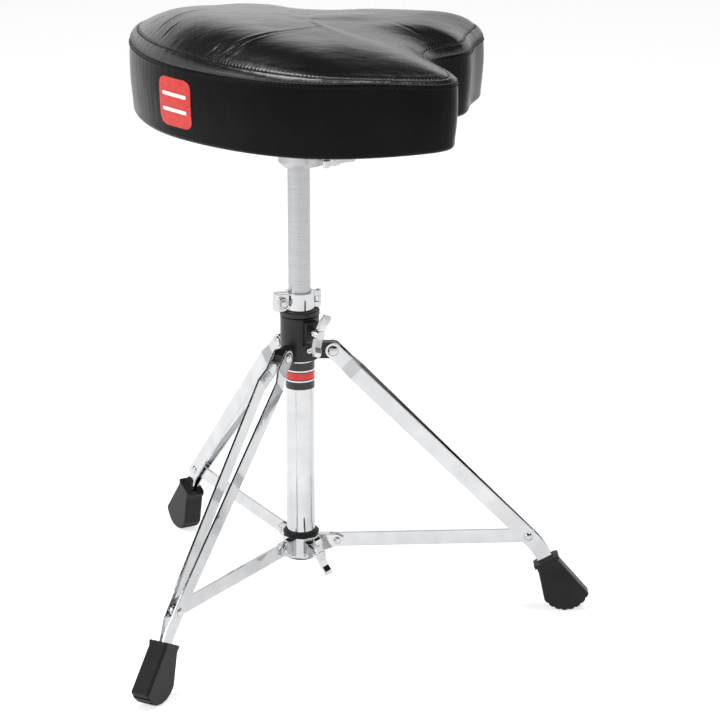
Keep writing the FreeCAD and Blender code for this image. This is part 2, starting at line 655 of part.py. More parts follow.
def make_seat_post():
    body = new_body("seat_post")
    outer = "Sizes.post_diameter / 2"
    inner = "Sizes.post_diameter / 2 - Sizes.post_wall"
    revolve(body, [(inner, "Sizes.post_bottom"), (outer + " - 0.8", "Sizes.post_bottom"),
                   (outer, "Sizes.post_bottom + 0.8"), (outer, "Sizes.post_top - 0.8"),
                   (outer + " - 0.8", "Sizes.post_top"), (inner, "Sizes.post_top")])
    keep(body)


def make_lock_half(label, side):
    """Half of a hinged ring, with a bolt ear along its own -X and hinge knuckles along +X."""
    body = new_body(label)
    inner = size("post_diameter") / 2 + size("clear_gap")
    outer = inner + size("lock_ring")
    gap = side * size("lock_split") / 2
    ear = size("lock_ear")
    deep = side * size("lock_ear_depth") + gap
    start_in = math.sqrt(inner ** 2 - gap ** 2)
    start_out = math.sqrt(outer ** 2 - gap ** 2)
    ear_root = math.sqrt(outer ** 2 - deep ** 2)
    edges = [Part.Arc(V(-start_in, gap, 0), V(0, side * inner, 0), V(start_in, gap, 0)),
             Part.LineSegment(V(start_in, gap, 0), V(start_out, gap, 0)),
             Part.Arc(V(start_out, gap, 0), V(0, side * outer, 0), V(-ear_root, deep, 0)),
             Part.LineSegment(V(-ear_root, deep, 0), V(3 - ear, deep, 0)),
             Part.LineSegment(V(3 - ear, deep, 0), V(-ear, deep - side * 2.5, 0)),
             Part.LineSegment(V(-ear, deep - side * 2.5, 0), V(-ear, gap, 0)),
             Part.LineSegment(V(-ear, gap, 0), V(-start_in, gap, 0))]
    pad(body, closed_sketch(body, "XY_Plane", "half_ring", edges, LOCK_BOTTOM), "Sizes.lock_height",
        both_sides=False)

    pin_at = size("lock_pin_radius")
    round_by = size("lock_knuckle")
    root = inner + size("lock_ring") / 2
    clear = outer + size("clear_gap") * 2
    knuckle = [Part.Arc(V(pin_at, side * round_by, 0), V(pin_at + round_by, 0, 0),
                        V(pin_at, -side * round_by, 0)),
               Part.LineSegment(V(pin_at, -side * round_by, 0), V(clear, -side * round_by / 2, 0)),
               Part.LineSegment(V(clear, -side * round_by / 2, 0), V(clear, gap, 0)),
               Part.LineSegment(V(clear, gap, 0), V(root, gap, 0)),
               Part.LineSegment(V(root, gap, 0), V(root, side * round_by, 0)),
               Part.LineSegment(V(root, side * round_by, 0), V(pin_at, side * round_by, 0))]
    third = "Sizes.lock_height / 3"
    for order, level in enumerate([third] if side > 0 else ["0 * " + third, "2 * " + third]):
        height = "%s + %s + Sizes.running_gap" % (LOCK_BOTTOM, level)
        sketch = closed_sketch(body, "XY_Plane", "knuckle_%d" % order, knuckle, height)
        pad(body, sketch, third + " - 2 * Sizes.running_gap", both_sides=False)
    pin_hole = new_sketch(body, "XY_Plane", "pin_hole")
    circle(pin_hole, "Sizes.lock_pin_diameter / 2 + Sizes.running_gap", "Sizes.lock_pin_radius", "0")
    pocket(body, pin_hole, "Sizes.seat_top * 2")
    bolt_hole = new_sketch(body, "XZ_Plane", "bolt_hole")
    circle(bolt_hole, "Sizes.key_bolt_diameter / 2 + Sizes.running_gap", "-Sizes.lock_bolt_radius",
           LOCK_BOTTOM + " + Sizes.lock_height / 2")
    pocket(body, bolt_hole, "Sizes.lock_ear * 2")
    keep(body, turn_about_z(size("lock_turn")))


def make_lock_hinge_pin():
    pin = dome_pin(size("lock_pin_diameter") / 2, size("lock_pin_diameter") / 2 + 0.6, 0.8,
                   size("clear_gap") / 2, size("lock_height"), head_low=False)
    height = size("hub_top") + size("flange_height") + size("clear_gap")
    place = FreeCAD.Placement(V(size("lock_pin_radius"), 0, height), FreeCAD.Rotation())
    plain_feature("lock_hinge_pin", pin, turn_about_z(size("lock_turn")).multiply(place))


def make_lock_key_bolt():
    """A square-headed bolt through both ears, with its head at the lock's own -Y side."""
    body = new_body("lock_key_bolt")
    shank = "Sizes.key_bolt_diameter / 2"
    face = "Sizes.lock_ear_depth + Sizes.lock_split / 2 + Sizes.clear_gap"
    head = "Sizes.key_head / 2"
    revolve(body, [("0", "-1 * (%s) - 4" % face), (shank, "-1 * (%s) - 4" % face), (shank, face),
                   (head, face), (head, face + " + 2.4"), (head + " - 1", face + " + 3"),
                   (head + " - 2.2", face + " + 3"), (head + " - 2.2", face + " + 2.2"),
                   ("0", face + " + 2.2")])
    square = new_sketch(body, "XY_Plane", "square", face)
    polygon(square, [("-2.6", "-2.6"), ("2.6", "-2.6"), ("2.6", "2.6"), ("-2.6", "2.6")])
    pad(body, square, "5", both_sides=False)
    height = size("hub_top") + size("flange_height") + size("clear_gap") + size("lock_height") / 2
    place = FreeCAD.Placement(V(-size("lock_bolt_radius"), 0, height), FreeCAD.Rotation(V(1, 0, 0), 90))
    keep(body, turn_about_z(size("lock_turn")).multiply(place))


# ---------------------------------------------------------------- wing bolts

def make_wing_bolt(label, tip, stand, height, angle, tilt):
    """A cast wing bolt along its own Z: a threaded stem, a round boss and two swept wings."""
    body = new_body(label)
    stem = "Sizes.bolt_diameter / 2"
    boss = "Sizes.bolt_boss / 2"
    revolve(body, [("0", tip), (stem + " - 0.8", tip), (stem, tip + " + 0.8"), (stem, stand),
                   (boss + " - 1", stand),
                   (boss, stand + " + 1"), (boss, stand + " + 6"), (boss + " - 1.5", stand + " + 9"),
                   ("0", stand + " + 9")])
    wings = new_sketch(body, "XZ_Plane", "wings")
    reach = "Sizes.wing_span / 2"
    upper = [(reach, stand + " + 9"), (reach + " - 1", stand + " + 12.5"), (reach + " - 5", stand + " + 13"),
             (reach + " - 10", stand + " + 9.5"), ("2", stand + " + 8")]
    lower = [("3", stand + " + 1.5"), (reach + " - 9", stand + " + 3.5")]
    left = [("-1 * (%s)" % across, up) for across, up in (lower + upper)[::-1]]
    polygon(wings, lower + upper + left)
    pad(body, wings, "Sizes.wing_thickness")
    place = FreeCAD.Placement(V(0, 0, height), FreeCAD.Rotation(V(0, 1, 0), 90))
    spin = FreeCAD.Placement(V(0, 0, 0), FreeCAD.Rotation(V(0, 0, 1), tilt))
    keep(body, turn_about_z(angle).multiply(place).multiply(spin))


def make_wing_bolts():
    post_tip = "Sizes.post_diameter / 2 + Sizes.clear_gap"
    tube_tip = "Sizes.tube_diameter / 2 + Sizes.clear_gap"
    make_wing_bolt("hub_wing_bolt", post_tip, "Sizes.boss_reach + Sizes.hub_bolt_stand",
                   size("hub_bolt_height"), size("clamp_angle"), -size("wing_tilt"))
    make_wing_bolt("collar_wing_bolt", tube_tip, "Sizes.collar_boss_reach + Sizes.hub_bolt_stand",
                   size("collar_bolt_height"), size("clamp_angle"), size("wing_tilt"))
    make_wing_bolt("seat_wing_bolt", post_tip, "Sizes.bracket_boss_reach + Sizes.seat_bolt_stand",
                   size("seat_bolt_height"), size("seat_bolt_angle"), 90.0)


# ---------------------------------------------------------------- seat

# Half of the saddle's outline: (share of the length from the back, share of the half width).
SEAT_HALF = ((0.05, 0.44), (0.205, 0.84), (0.46, 1.0), (0.60, 0.97), (0.645, 0.71), (0.70, 0.465),
             (0.83, 0.38), (0.90, 0.23))


def seat_outline(inset):
    """The saddle's closed outline, its nose towards +X, drawn in by this much."""
    length = size("seat_length")
    long_scale = 1 - 2 * inset / length
    wide = size("seat_half_width") - inset
    middle = length / 2 - size("seat_back")
    right = [(share * length - size("seat_back"), side * wide) for share, side in SEAT_HALF]
    left = [(x, -y) for x, y in right[::-1]]
    ring = [(-size("seat_back"), 0.0)] + right + [(length - size("seat_back"), 0.0)] + left
    curve = Part.BSplineCurve()
    points = [V(middle + (x - middle) * long_scale, y, 0) for x, y in ring]
    curve.interpolate(Points=points, PeriodicFlag=True)
    return curve


def seat_plate(body, name, inset, low, thickness):
    sketch = closed_sketch(body, "XY_Plane", name, [seat_outline(inset)], low)
    return pad(body, sketch, thickness, both_sides=False)


def make_seat_cushion():
    """The padded saddle as one closed solid with a domed top and a recess for its board."""
    block = doc.addObject("PartDesign::Body", "cushion_block")
    seat_plate(block, "outline", 0.0, "Sizes.seat_bottom", "Sizes.seat_top - Sizes.seat_bottom")
    recess_edge = seat_outline(size("board_inset") - size("clear_gap"))
    recess = closed_sketch(block, "XY_Plane", "recess", [recess_edge],
                           "Sizes.seat_bottom - 1")
    pocket(block, recess, "1 + Sizes.cover_thickness + Sizes.board_thickness + Sizes.clear_gap",
           both_sides=False, backwards=True)
    crown = doc.addObject("Part::Sphere", "cushion_crown")
    crown.setExpression("Radius", "Sizes.crown_radius")
    crown.setExpression("Placement.Base.z", "Sizes.seat_top - Sizes.crown_radius")
    cushion = doc.addObject("Part::Common", "seat_cushion")
    cushion.Label = "seat_cushion"
    cushion.Base = block
    cushion.Tool = crown
    keep(cushion, turn_about_z(size("seat_turn")))


def drill_screw_holes(body, radius, name="screw_holes", height=None, depth="Sizes.seat_top * 2", turned="0"):
    """Four holes on the screw circle, in a body whose own frame lags the seat by an angle."""
    sketch = new_sketch(body, "XY_Plane", name, height)
    for angle in SCREW_ANGLES:
        ring = "Sizes.screw_circle / 2 * %s(" + "%d + %s)" % (angle, turned)
        circle(sketch, radius, ring % "cos", ring % "sin")
    pocket(body, sketch, depth, both_sides=height is None, backwards=False)


def make_seat_board():
    body = new_body("seat_board")
    low = "Sizes.seat_bottom + Sizes.cover_thickness"
    seat_plate(body, "outline", size("board_inset"), low, "Sizes.board_thickness")
    drill_screw_holes(body, "Sizes.tnut_barrel / 2 + Sizes.running_gap")
    drill_screw_holes(body, "Sizes.tnut_flange / 2 + Sizes.running_gap", "tnut_seats",
                      low + " + Sizes.board_thickness", "Sizes.tnut_plate")
    keep(body, turn_about_z(size("seat_turn")))


def make_seat_bottom_cover():
    body = new_body("seat_bottom_cover")
    seat_plate(body, "outline", size("board_inset"), "Sizes.seat_bottom", "Sizes.cover_thickness")
    drill_screw_holes(body, "Sizes.screw_diameter / 2 + Sizes.clear_gap")
    keep(body, turn_about_z(size("seat_turn")))


def make_seat_bracket():
    """A cast clamp with a flange for the board. Its own +X is the side of its wing bolt."""
    body = new_body("seat_bracket")
    outer = "Sizes.bracket_diameter / 2"
    low = "Sizes.bracket_bottom"
    flange_low = "Sizes.seat_bottom - Sizes.flange_thickness"
    revolve(body, [("0", low), (outer + " - Sizes.bracket_chamfer", low),
                   (outer, low + " + Sizes.bracket_chamfer"),
                   (outer, flange_low + " - 6"), (outer + " + 6", flange_low),
                   ("Sizes.bracket_flange / 2", flange_low),
                   ("Sizes.bracket_flange / 2", "Sizes.seat_bottom"),
                   ("0", "Sizes.seat_bottom")])
    boss = new_sketch(body, "XZ_Plane", "boss")
    polygon(boss, [("0", low + " + 2"), ("Sizes.bracket_diameter / 2", low + " + 2"),
                   ("Sizes.bracket_boss_reach", low + " + 5"), ("Sizes.bracket_boss_reach", low + " + 21"),
                   ("Sizes.bracket_diameter / 2", low + " + 26"), ("0", low + " + 26")])
    pad(body, boss, "Sizes.boss_width + 2")
    bore = new_sketch(body, "XY_Plane", "bore", "Sizes.post_top + Sizes.clear_gap")
    circle(bore, "Sizes.post_diameter / 2 + Sizes.running_gap")
    pocket(body, bore, "Sizes.post_top", both_sides=False)
    cut_bolt_hole(body, "Sizes.seat_bolt_height", "Sizes.running_gap")
    drill_screw_holes(body, "Sizes.screw_diameter / 2 + Sizes.running_gap",
                      turned="Sizes.seat_turn - Sizes.seat_bolt_angle")
    keep(body, turn_about_z(size("seat_bolt_angle")))


def seat_ring_of(shape):
    """One copy of a shape at each bracket screw."""
    copies = []
    for angle in SCREW_ANGLES:
        copy = shape.copy()
        copy.translate(V(size("screw_circle") / 2, 0, 0))
        copy.rotate(V(0, 0, 0), V(0, 0, 1), angle + size("seat_turn"))
        copies.append(copy)
    return Part.makeCompound(copies)


def make_bracket_screws():
    flange_low = size("seat_bottom") - size("flange_thickness")
    top = size("seat_bottom") + size("cover_thickness") + size("board_thickness")
    screw = dome_pin(size("screw_diameter") / 2, size("screw_head") / 2, 2.6, flange_low, top,
                     head_high=False)
    plain_feature("bracket_screws", seat_ring_of(screw))


def make_board_tnuts():
    low = size("seat_bottom") + size("cover_thickness")
    top = low + size("board_thickness")
    bore = size("screw_diameter") / 2 + size("running_gap")
    barrel = Part.makeCylinder(size("tnut_barrel") / 2, size("board_thickness"), V(0, 0, low))
    plate = Part.makeCylinder(size("tnut_flange") / 2, size("tnut_plate"), V(0, 0, top - size("tnut_plate")))
    nut = barrel.fuse(plate).cut(Part.makeCylinder(bore, size("seat_top"), V(0, 0, 0)))
    plain_feature("board_tnuts", seat_ring_of(nut))


# ---------------------------------------------------------------- everything, checked and written

make_base_tube()
make_tube_end_plug()
make_hub_bushing()
make_label_band()
make_hub()
make_hub_set_screw()
make_leg_pivot_pins()
for number, leg_angle in enumerate(LEG_ANGLES, start=1):
    make_strap("leg_%d_left_strap" % number, 1, leg_angle)
    make_strap("leg_%d_right_strap" % number, -1, leg_angle)
    make_strut_pivot_rivets("leg_%d_rivets" % number, leg_angle)
    make_foot("leg_%d_foot" % number, leg_angle)
    make_strut("strut_%d" % number, leg_angle)
make_collar()
make_collar_ring()
make_collar_washer()
make_collar_pins()
make_seat_post()
make_lock_half("lock_front", -1)
make_lock_half("lock_rear", 1)
make_lock_hinge_pin()
make_lock_key_bolt()
make_wing_bolts()
make_seat_cushion()
make_seat_board()
make_seat_bottom_cover()
make_seat_bracket()
make_bracket_screws()
make_board_tnuts()
doc.recompute()

for item in doc.Objects:
    if "Invalid" in item.State or "Error" in item.State:
        raise RuntimeError("%s failed: %s" % (item.Name, item.State))
for item in parts:
    if item.Shape.isNull() or not item.Shape.isValid() or not item.Shape.Solids:
        raise RuntimeError(item.Label + " has no valid shape")

# The row's origin is the middle of the whole throne's box, on the floor.
whole = Part.makeCompound([item.Shape for item in parts]).optimalBoundingBox(False)
to_middle = V(-(whole.XMin + whole.XMax) / 2, -(whole.YMin + whole.YMax) / 2, -whole.ZMin)
for item in parts:
    item.Placement = FreeCAD.Placement(to_middle, FreeCAD.Rotation()).multiply(item.Placement)
doc.recompute()

os.makedirs("parts", exist_ok=True)
for item in parts:
    item.Shape.exportStep("parts/%s.step" % item.Label)
print("post axis at %.4f %.4f" % (to_middle.x, to_middle.y))
print("box %.2f %.2f %.2f" % (whole.XLength, whole.YLength, whole.ZLength))
print("floor was at %.4f" % whole.ZMin)
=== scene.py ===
import json
import math

import bpy
import numpy as np
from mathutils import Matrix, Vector, noise
from mathutils.bvhtree import BVHTree


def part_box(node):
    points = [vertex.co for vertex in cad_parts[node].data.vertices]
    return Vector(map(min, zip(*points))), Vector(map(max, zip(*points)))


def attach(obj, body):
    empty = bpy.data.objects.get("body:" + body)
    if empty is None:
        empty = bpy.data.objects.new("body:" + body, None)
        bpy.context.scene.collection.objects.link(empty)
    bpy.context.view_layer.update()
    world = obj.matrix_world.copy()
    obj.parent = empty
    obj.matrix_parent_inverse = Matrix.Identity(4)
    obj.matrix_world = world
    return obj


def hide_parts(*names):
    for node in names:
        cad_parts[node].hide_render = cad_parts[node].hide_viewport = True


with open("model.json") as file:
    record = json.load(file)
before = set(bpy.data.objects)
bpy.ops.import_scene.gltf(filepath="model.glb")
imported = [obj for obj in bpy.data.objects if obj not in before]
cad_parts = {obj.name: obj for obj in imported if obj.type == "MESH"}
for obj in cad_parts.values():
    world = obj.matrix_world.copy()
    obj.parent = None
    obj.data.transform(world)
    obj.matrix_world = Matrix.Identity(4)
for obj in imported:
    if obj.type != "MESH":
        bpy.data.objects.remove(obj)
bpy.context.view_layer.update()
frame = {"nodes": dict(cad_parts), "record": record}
NODES = frame["nodes"]
MM = 0.001


def middle(node):
    low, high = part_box(node)
    return (low + high) / 2


def smooth_step(value):
    value = np.clip(value, 0.0, 1.0)
    return value * value * (3.0 - 2.0 * value)


# ---------------------------------------------------------------- materials

# Every material is built from the same few steps: a coordinate, a noise, a ramp and a bump.

class Paint:
    """A material with its principled shader, and short ways to add the usual nodes."""

    def __init__(self, name, colour, metallic=0.0, specular=0.5):
        self.material = bpy.data.materials.new(name)
        self.material.use_nodes = True
        self.tree = self.material.node_tree
        self.shader = self.tree.nodes["Principled BSDF"]
        self.shader.inputs["Base Color"].default_value = (*colour, 1.0)
        self.shader.inputs["Metallic"].default_value = metallic
        self.shader.inputs["Specular IOR Level"].default_value = specular
        self.place = self.add("ShaderNodeTexCoord").outputs["Object"]

    def add(self, kind):
        return self.tree.nodes.new(kind)

    def link(self, source, target):
        self.tree.links.new(source, target)

    def stretched(self, scale, turn=0.0):
        mapping = self.add("ShaderNodeMapping")
        mapping.inputs["Scale"].default_value = scale
        mapping.inputs["Rotation"].default_value = (0.0, 0.0, turn)
        self.link(self.place, mapping.inputs["Vector"])
        return mapping.outputs["Vector"]

    def noise(self, scale, detail=3.0, where=None, distortion=0.0):
        node = self.add("ShaderNodeTexNoise")
        node.inputs["Scale"].default_value = scale
        node.inputs["Detail"].default_value = detail
        node.inputs["Distortion"].default_value = distortion
        self.link(where or self.place, node.inputs["Vector"])
        return node.outputs["Fac"]

    def cells(self, scale):
        node = self.add("ShaderNodeTexVoronoi")
        node.inputs["Scale"].default_value = scale
        self.link(self.place, node.inputs["Vector"])
        return node.outputs["Distance"]

    def ramp(self, value, stops):
        node = self.add("ShaderNodeValToRGB")
        elements = node.color_ramp.elements
        while len(elements) < len(stops):
            elements.new(0.5)
        for element, (position, colour) in zip(elements, stops):
            element.position = position
            element.color = (*colour, 1.0)
        self.link(value, node.inputs["Fac"])
        return node.outputs["Color"]

    def between(self, value, low, high):
        node = self.add("ShaderNodeMapRange")
        node.inputs["To Min"].default_value = low
        node.inputs["To Max"].default_value = high
        self.link(value, node.inputs["Value"])
        return node.outputs["Result"]

    def colour(self, value, dark, light):
        self.link(self.ramp(value, [(0.3, dark), (0.7, light)]), self.shader.inputs["Base Color"])

    def roughness(self, value, low, high):
        self.link(self.between(value, low, high), self.shader.inputs["Roughness"])

    def bump(self, value, height, strength=1.0, normal=None):
        node = self.add("ShaderNodeBump")
        node.inputs["Distance"].default_value = height
        node.inputs["Strength"].default_value = strength
        self.link(value, node.inputs["Height"])
        if normal is not None:
            self.link(normal, node.inputs["Normal"])
        return node.outputs["Normal"]

    def soft_edges(self, radius):
        node = self.add("ShaderNodeBevel")
        node.samples = 6
        node.inputs["Radius"].default_value = radius
        return node.outputs["Normal"]

    def finish(self, normal):
        self.link(normal, self.shader.inputs["Normal"])
        return self.material


def chrome_paint():
    """Bright plate over steel: nearly a mirror, with faint ripples and rounded edges."""
    paint = Paint("chrome", (0.55, 0.555, 0.565), metallic=1.0)
    haze = paint.noise(45.0, 4.0)
    paint.colour(haze, (0.50, 0.51, 0.525), (0.58, 0.59, 0.60))
    paint.roughness(haze, 0.035, 0.085)
    return paint.finish(paint.bump(paint.noise(130.0, 2.0), 0.00004, normal=paint.soft_edges(0.9 * MM)))


def post_paint():
    """Satin nickel with fine drawn lines round the tube."""
    paint = Paint("post_steel", (0.72, 0.72, 0.735), metallic=1.0)
    drawn = paint.noise(60.0, 5.0, where=paint.stretched((1.0, 1.0, 14.0)))
    paint.colour(drawn, (0.40, 0.405, 0.415), (0.47, 0.475, 0.485))
    paint.roughness(drawn, 0.22, 0.30)
    return paint.finish(paint.bump(drawn, 0.000008, normal=paint.soft_edges(0.6 * MM)))


def steel_paint():
    """Zinc-plated fasteners, a little blotchy."""
    paint = Paint("steel", (0.6, 0.6, 0.62), metallic=1.0)
    blotch = paint.noise(300.0, 4.0)
    paint.colour(blotch, (0.45, 0.45, 0.47), (0.66, 0.66, 0.67))
    paint.roughness(blotch, 0.25, 0.45)
    return paint.finish(paint.bump(blotch, 0.00005, normal=paint.soft_edges(0.3 * MM)))


def hub_paint():
    """Black powder coat with a fine orange peel."""
    paint = Paint("black_metal", (0.008, 0.008, 0.009), specular=0.35)
    peel = paint.noise(900.0, 3.0)
    wear = paint.noise(70.0, 4.0)
    paint.colour(wear, (0.004, 0.004, 0.005), (0.012, 0.012, 0.013))
    paint.roughness(wear, 0.28, 0.42)
    return paint.finish(paint.bump(peel, 0.00006, 0.5, normal=paint.soft_edges(0.7 * MM)))


def cast_paint():
    """Bare die casting: dull, light grey, with a grainy skin."""
    paint = Paint("cast", (0.5, 0.5, 0.51), metallic=0.85)
    grain = paint.noise(500.0, 5.0)
    cloud = paint.noise(60.0, 3.0)
    paint.colour(cloud, (0.42, 0.42, 0.43), (0.60, 0.60, 0.61))
    paint.roughness(grain, 0.38, 0.58)
    return paint.finish(paint.bump(grain, 0.00012, 0.6, normal=paint.soft_edges(0.8 * MM)))


def rubber_paint():
    """Moulded black rubber, slightly dusty and softly shining."""
    paint = Paint("rubber", (0.007, 0.007, 0.008), specular=0.22)
    dust = paint.noise(55.0, 5.0)
    skin = paint.noise(1200.0, 2.0)
    paint.colour(dust, (0.004, 0.004, 0.005), (0.012, 0.012, 0.013))
    paint.roughness(dust, 0.36, 0.56)
    return paint.finish(paint.bump(skin, 0.00008, 0.5, normal=paint.soft_edges(0.9 * MM)))


def plastic_paint():
    """Black nylon with a fine spark-eroded texture."""
    paint = Paint("black_plastic", (0.012, 0.012, 0.012), specular=0.4)
    spark = paint.noise(1600.0, 3.0)
    paint.colour(paint.noise(80.0), (0.009, 0.009, 0.009), (0.018, 0.018, 0.018))
    paint.roughness(spark, 0.34, 0.5)
    return paint.finish(paint.bump(spark, 0.00006, 0.4, normal=paint.soft_edges(0.5 * MM)))


def band_paint():
    """The film round the tube: glossy black with a red stripe between two thin white lines."""
    low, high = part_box("label_band")
    paint = Paint("band", (0.01, 0.01, 0.011), specular=0.5)
    split = paint.add("ShaderNodeSeparateXYZ")
    paint.link(paint.place, split.inputs["Vector"])
    share = paint.add("ShaderNodeMapRange")
    share.inputs["From Min"].default_value = low.z
    share.inputs["From Max"].default_value = high.z
    paint.link(split.outputs["Z"], share.inputs["Value"])
    black, white, red = (0.008, 0.008, 0.009), (0.8, 0.8, 0.8), (0.62, 0.02, 0.015)
    stops = [(0.0, black), (0.28, white), (0.33, black), (0.37, red), (0.62, black), (0.66, white),
             (0.71, black)]
    stripes = paint.ramp(share.outputs["Result"], stops)
    stripes.node.color_ramp.interpolation = "CONSTANT"
    paint.link(stripes, paint.shader.inputs["Base Color"])
    paint.roughness(paint.noise(150.0), 0.12, 0.22)
    return paint.finish(paint.bump(paint.noise(200.0), 0.00002))


def plywood_paint():
    """Raw plywood: long grain with darker streaks."""
    paint = Paint("plywood", (0.45, 0.3, 0.17), specular=0.3)
    grain = paint.noise(30.0, 6.0, where=paint.stretched((1.0, 9.0, 1.0), 0.5), distortion=0.4)
    paint.colour(grain, (0.33, 0.21, 0.11), (0.56, 0.4, 0.24))
    paint.roughness(grain, 0.55, 0.75)
    return paint.finish(paint.bump(grain, 0.0002, 0.4))


def dust_cover_paint():
    """Black non-woven cloth stapled under the seat."""
    paint = Paint("dust_cover", (0.02, 0.02, 0.021), specular=0.2)
    weave = paint.cells(1100.0)
    paint.colour(paint.noise(240.0, 5.0), (0.012, 0.012, 0.013), (0.035, 0.035, 0.036))
    paint.roughness(weave, 0.75, 0.95)
    return paint.finish(paint.bump(weave, 0.0003, 0.7))


def vinyl_paint(name, specular):
    """Black grained vinyl: pebble grain and long fine stretch lines."""
    paint = Paint(name, (0.004, 0.004, 0.004), specular=specular)
    cloud = paint.noise(14.0, 4.0)
    paint.colour(cloud, (0.002, 0.002, 0.002), (0.005, 0.005, 0.005))
    pebble = paint.cells(900.0)
    lines = paint.noise(38.0, 5.0, where=paint.stretched((1.0, 6.0, 1.6), 0.75), distortion=0.5)
    cross = paint.noise(55.0, 4.0, where=paint.stretched((5.0, 1.0, 1.2), 0.35), distortion=0.3)
    paint.roughness(lines, 0.22, 0.30)
    normal = paint.bump(pebble, 0.00018, 0.18)
    normal = paint.bump(cross, 0.0006, 0.14, normal=normal)
    return paint.finish(paint.bump(lines, 0.0009, 0.18, normal=normal))


def thread_paint():
    """Black twisted polyester thread."""
    paint = Paint("thread", (0.006, 0.006, 0.007), specular=0.15)
    twist = paint.noise(2500.0, 2.0, where=paint.stretched((1.0, 1.0, 2.5)))
    paint.colour(twist, (0.003, 0.003, 0.004), (0.012, 0.012, 0.013))
    paint.roughness(twist, 0.5, 0.75)
    return paint.finish(paint.bump(twist, 0.0001, 0.5))


def print_paint(name, dark, light):
    """Ink printed on the vinyl: flat, slightly uneven, showing some of the grain under it."""
    paint = Paint(name, light, specular=0.4)
    paint.colour(paint.noise(160.0, 4.0), dark, light)
    pebble = paint.cells(900.0)
    paint.roughness(pebble, 0.34, 0.46)
    return paint.finish(paint.bump(pebble, 0.00015, 0.25))


TOP_SHINE = 0.55
SHADED_WALL_SHINE = 0.08                   # painted shade: the wall is a duller copy of the top's vinyl, so it reflects less of the bright floor and reads darker than the top

# One material for each slot of the CAD nodes, by the slot's name.
PAINTS = {
    "chrome": chrome_paint(), "post_steel": post_paint(), "steel": steel_paint(), "black_metal": hub_paint(),
    "cast": cast_paint(), "rubber": rubber_paint(), "black_plastic": plastic_paint(), "band": band_paint(),
    "plywood": plywood_paint(), "dust_cover": dust_cover_paint(), "vinyl": vinyl_paint("vinyl", TOP_SHINE),
}
# painted shade: a copy of the vinyl with less shine for the wall, so the wall reflects less of the bright
# floor and reads darker
SHADED_WALL_VINYL = vinyl_paint("shaded_wall_vinyl", SHADED_WALL_SHINE)


def paint_cad_nodes():
    for entry in frame["record"]["subparts"]:
        node = NODES[entry["node"]]
        node.data.materials.clear()
        node.data.materials.append(PAINTS[entry["material_slot"]])


# ---------------------------------------------------------------- making meshes

def make_mesh(name, points, faces, material):
    mesh = bpy.data.meshes.new(name)
    mesh.from_pydata([tuple(point) for point in points], [], faces)
    mesh.materials.append(material)
    mesh.polygons.foreach_set("use_smooth", [True] * len(mesh.polygons))
    mesh.update()
    piece = bpy.data.objects.new(name, mesh)
    bpy.context.scene.collection.objects.link(piece)
    return piece


def grid_faces(rows, columns):
    """Quads between neighbouring rows of a grid whose columns close on themselves."""
    faces = []
    for row in range(rows - 1):
        for column in range(columns):
            after = (column + 1) % columns
            low, high = row * columns, (row + 1) * columns
            faces.append((low + column, low + after, high + after, high + column))
    return faces


# ---------------------------------------------------------------- seat cushion

SEAT_TURN = math.radians(27.5)      # the nose's direction about the post, from +X
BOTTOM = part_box("seat_cushion")[0].z
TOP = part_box("seat_cushion")[1].z
POST = middle("seat_post")
BOARD_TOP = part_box("seat_board")[1].z
BOARD_INSET = 9.0 * MM
SEAM_RISE = 68.0 * MM               # from the bottom edge to the seam at the back
NOSE_FALL = 7.0 * MM                # the seam is this much lower at the nose
PIPE_WIDTH = 7.6 * MM               # the folded strip between the seam and the topstitch
WALL_TAPER = 2.2 * MM
WALL_ROUND = 4.5 * MM
RIM_DROP = 1.2 * MM                 # the cover hangs this much below the board
CROWN_REACH = 85.0 * MM             # distance from the wall over which the crown rises at the back
NOSE_REACH = 66.0 * MM              # and at the nose
CROWN_LEVEL = 2.4                   # how gently the rise runs out into the flat middle
CROWN_STEEP = 0.85                  # how steeply it starts; less is steeper
CROWN_EVEN = 16.0                   # columns over which the rise is evened out round corners
CROWN_RISE = 94.5 * MM              # from the bottom edge to the crown above the post
CROWN_SLOPE = 0.077                 # the crown falls this much towards the nose, metre for metre
CROWN_SWEEP = 0.35                  # and bends up again, per metre
CROWN_ARCH = 0.45                   # fall to each side, per metre
CROWN_INSET = 15.0 * MM             # inside this the crown's rows shrink towards the post
EVEN_LIMIT = 150.0                  # the most columns that the rise is evened out over
FINE_COLUMNS = 1200
COARSE_STEP = 4                     # the cloth has every fourth column and about every fourth row
EDGE_TURNS = (10.0, 30.0, 50.0, 70.0, 90.0)     # degrees round the cover's bottom edge, a row at each
UNDERSIDE_ROWS = 7
WALL_START = UNDERSIDE_ROWS + len(EDGE_TURNS)   # the first row of the wall
WALL_LOW = 6.0 * MM                 # the wall's first row is near this height above the bottom edge
WALL_HIGH = 3.0 * MM                # and its last is this much below the seam


def ray_outline(columns):
    """The wall's outline round the post axis, evenly spaced, counter-clockwise from the nose."""
    mesh = NODES["seat_cushion"].data
    tree = BVHTree.FromPolygons([v.co for v in mesh.vertices], [p.vertices for p in mesh.polygons])
    height = (BOARD_TOP + TOP) / 2
    start = Vector((POST.x, POST.y, height))
    dense = []
    for angle in np.linspace(0.0, 2 * math.pi, 3 * columns, endpoint=False) + SEAT_TURN:
        hit = tree.ray_cast(start, Vector((math.cos(angle), math.sin(angle), 0.0)))[0]
        dense.append((hit.x, hit.y))
    dense = np.array(dense + dense[:1])
    lengths = np.concatenate([[0.0], np.cumsum(np.linalg.norm(np.diff(dense, axis=0), axis=1))])
    wanted = np.linspace(0.0, lengths[-1], columns, endpoint=False)
    return np.stack([np.interp(wanted, lengths, dense[:, axis]) for axis in (0, 1)], axis=1), lengths[-1]


OUTLINE, OUTLINE_LENGTH = ray_outline(FINE_COLUMNS)


def outward(outline):
    """The way out of the cushion at each point of the outline."""
    along = np.roll(outline, -3, axis=0) - np.roll(outline, 3, axis=0)
    along /= np.linalg.norm(along, axis=1)[:, None]
    return np.stack([along[:, 1], -along[:, 0]], axis=1)


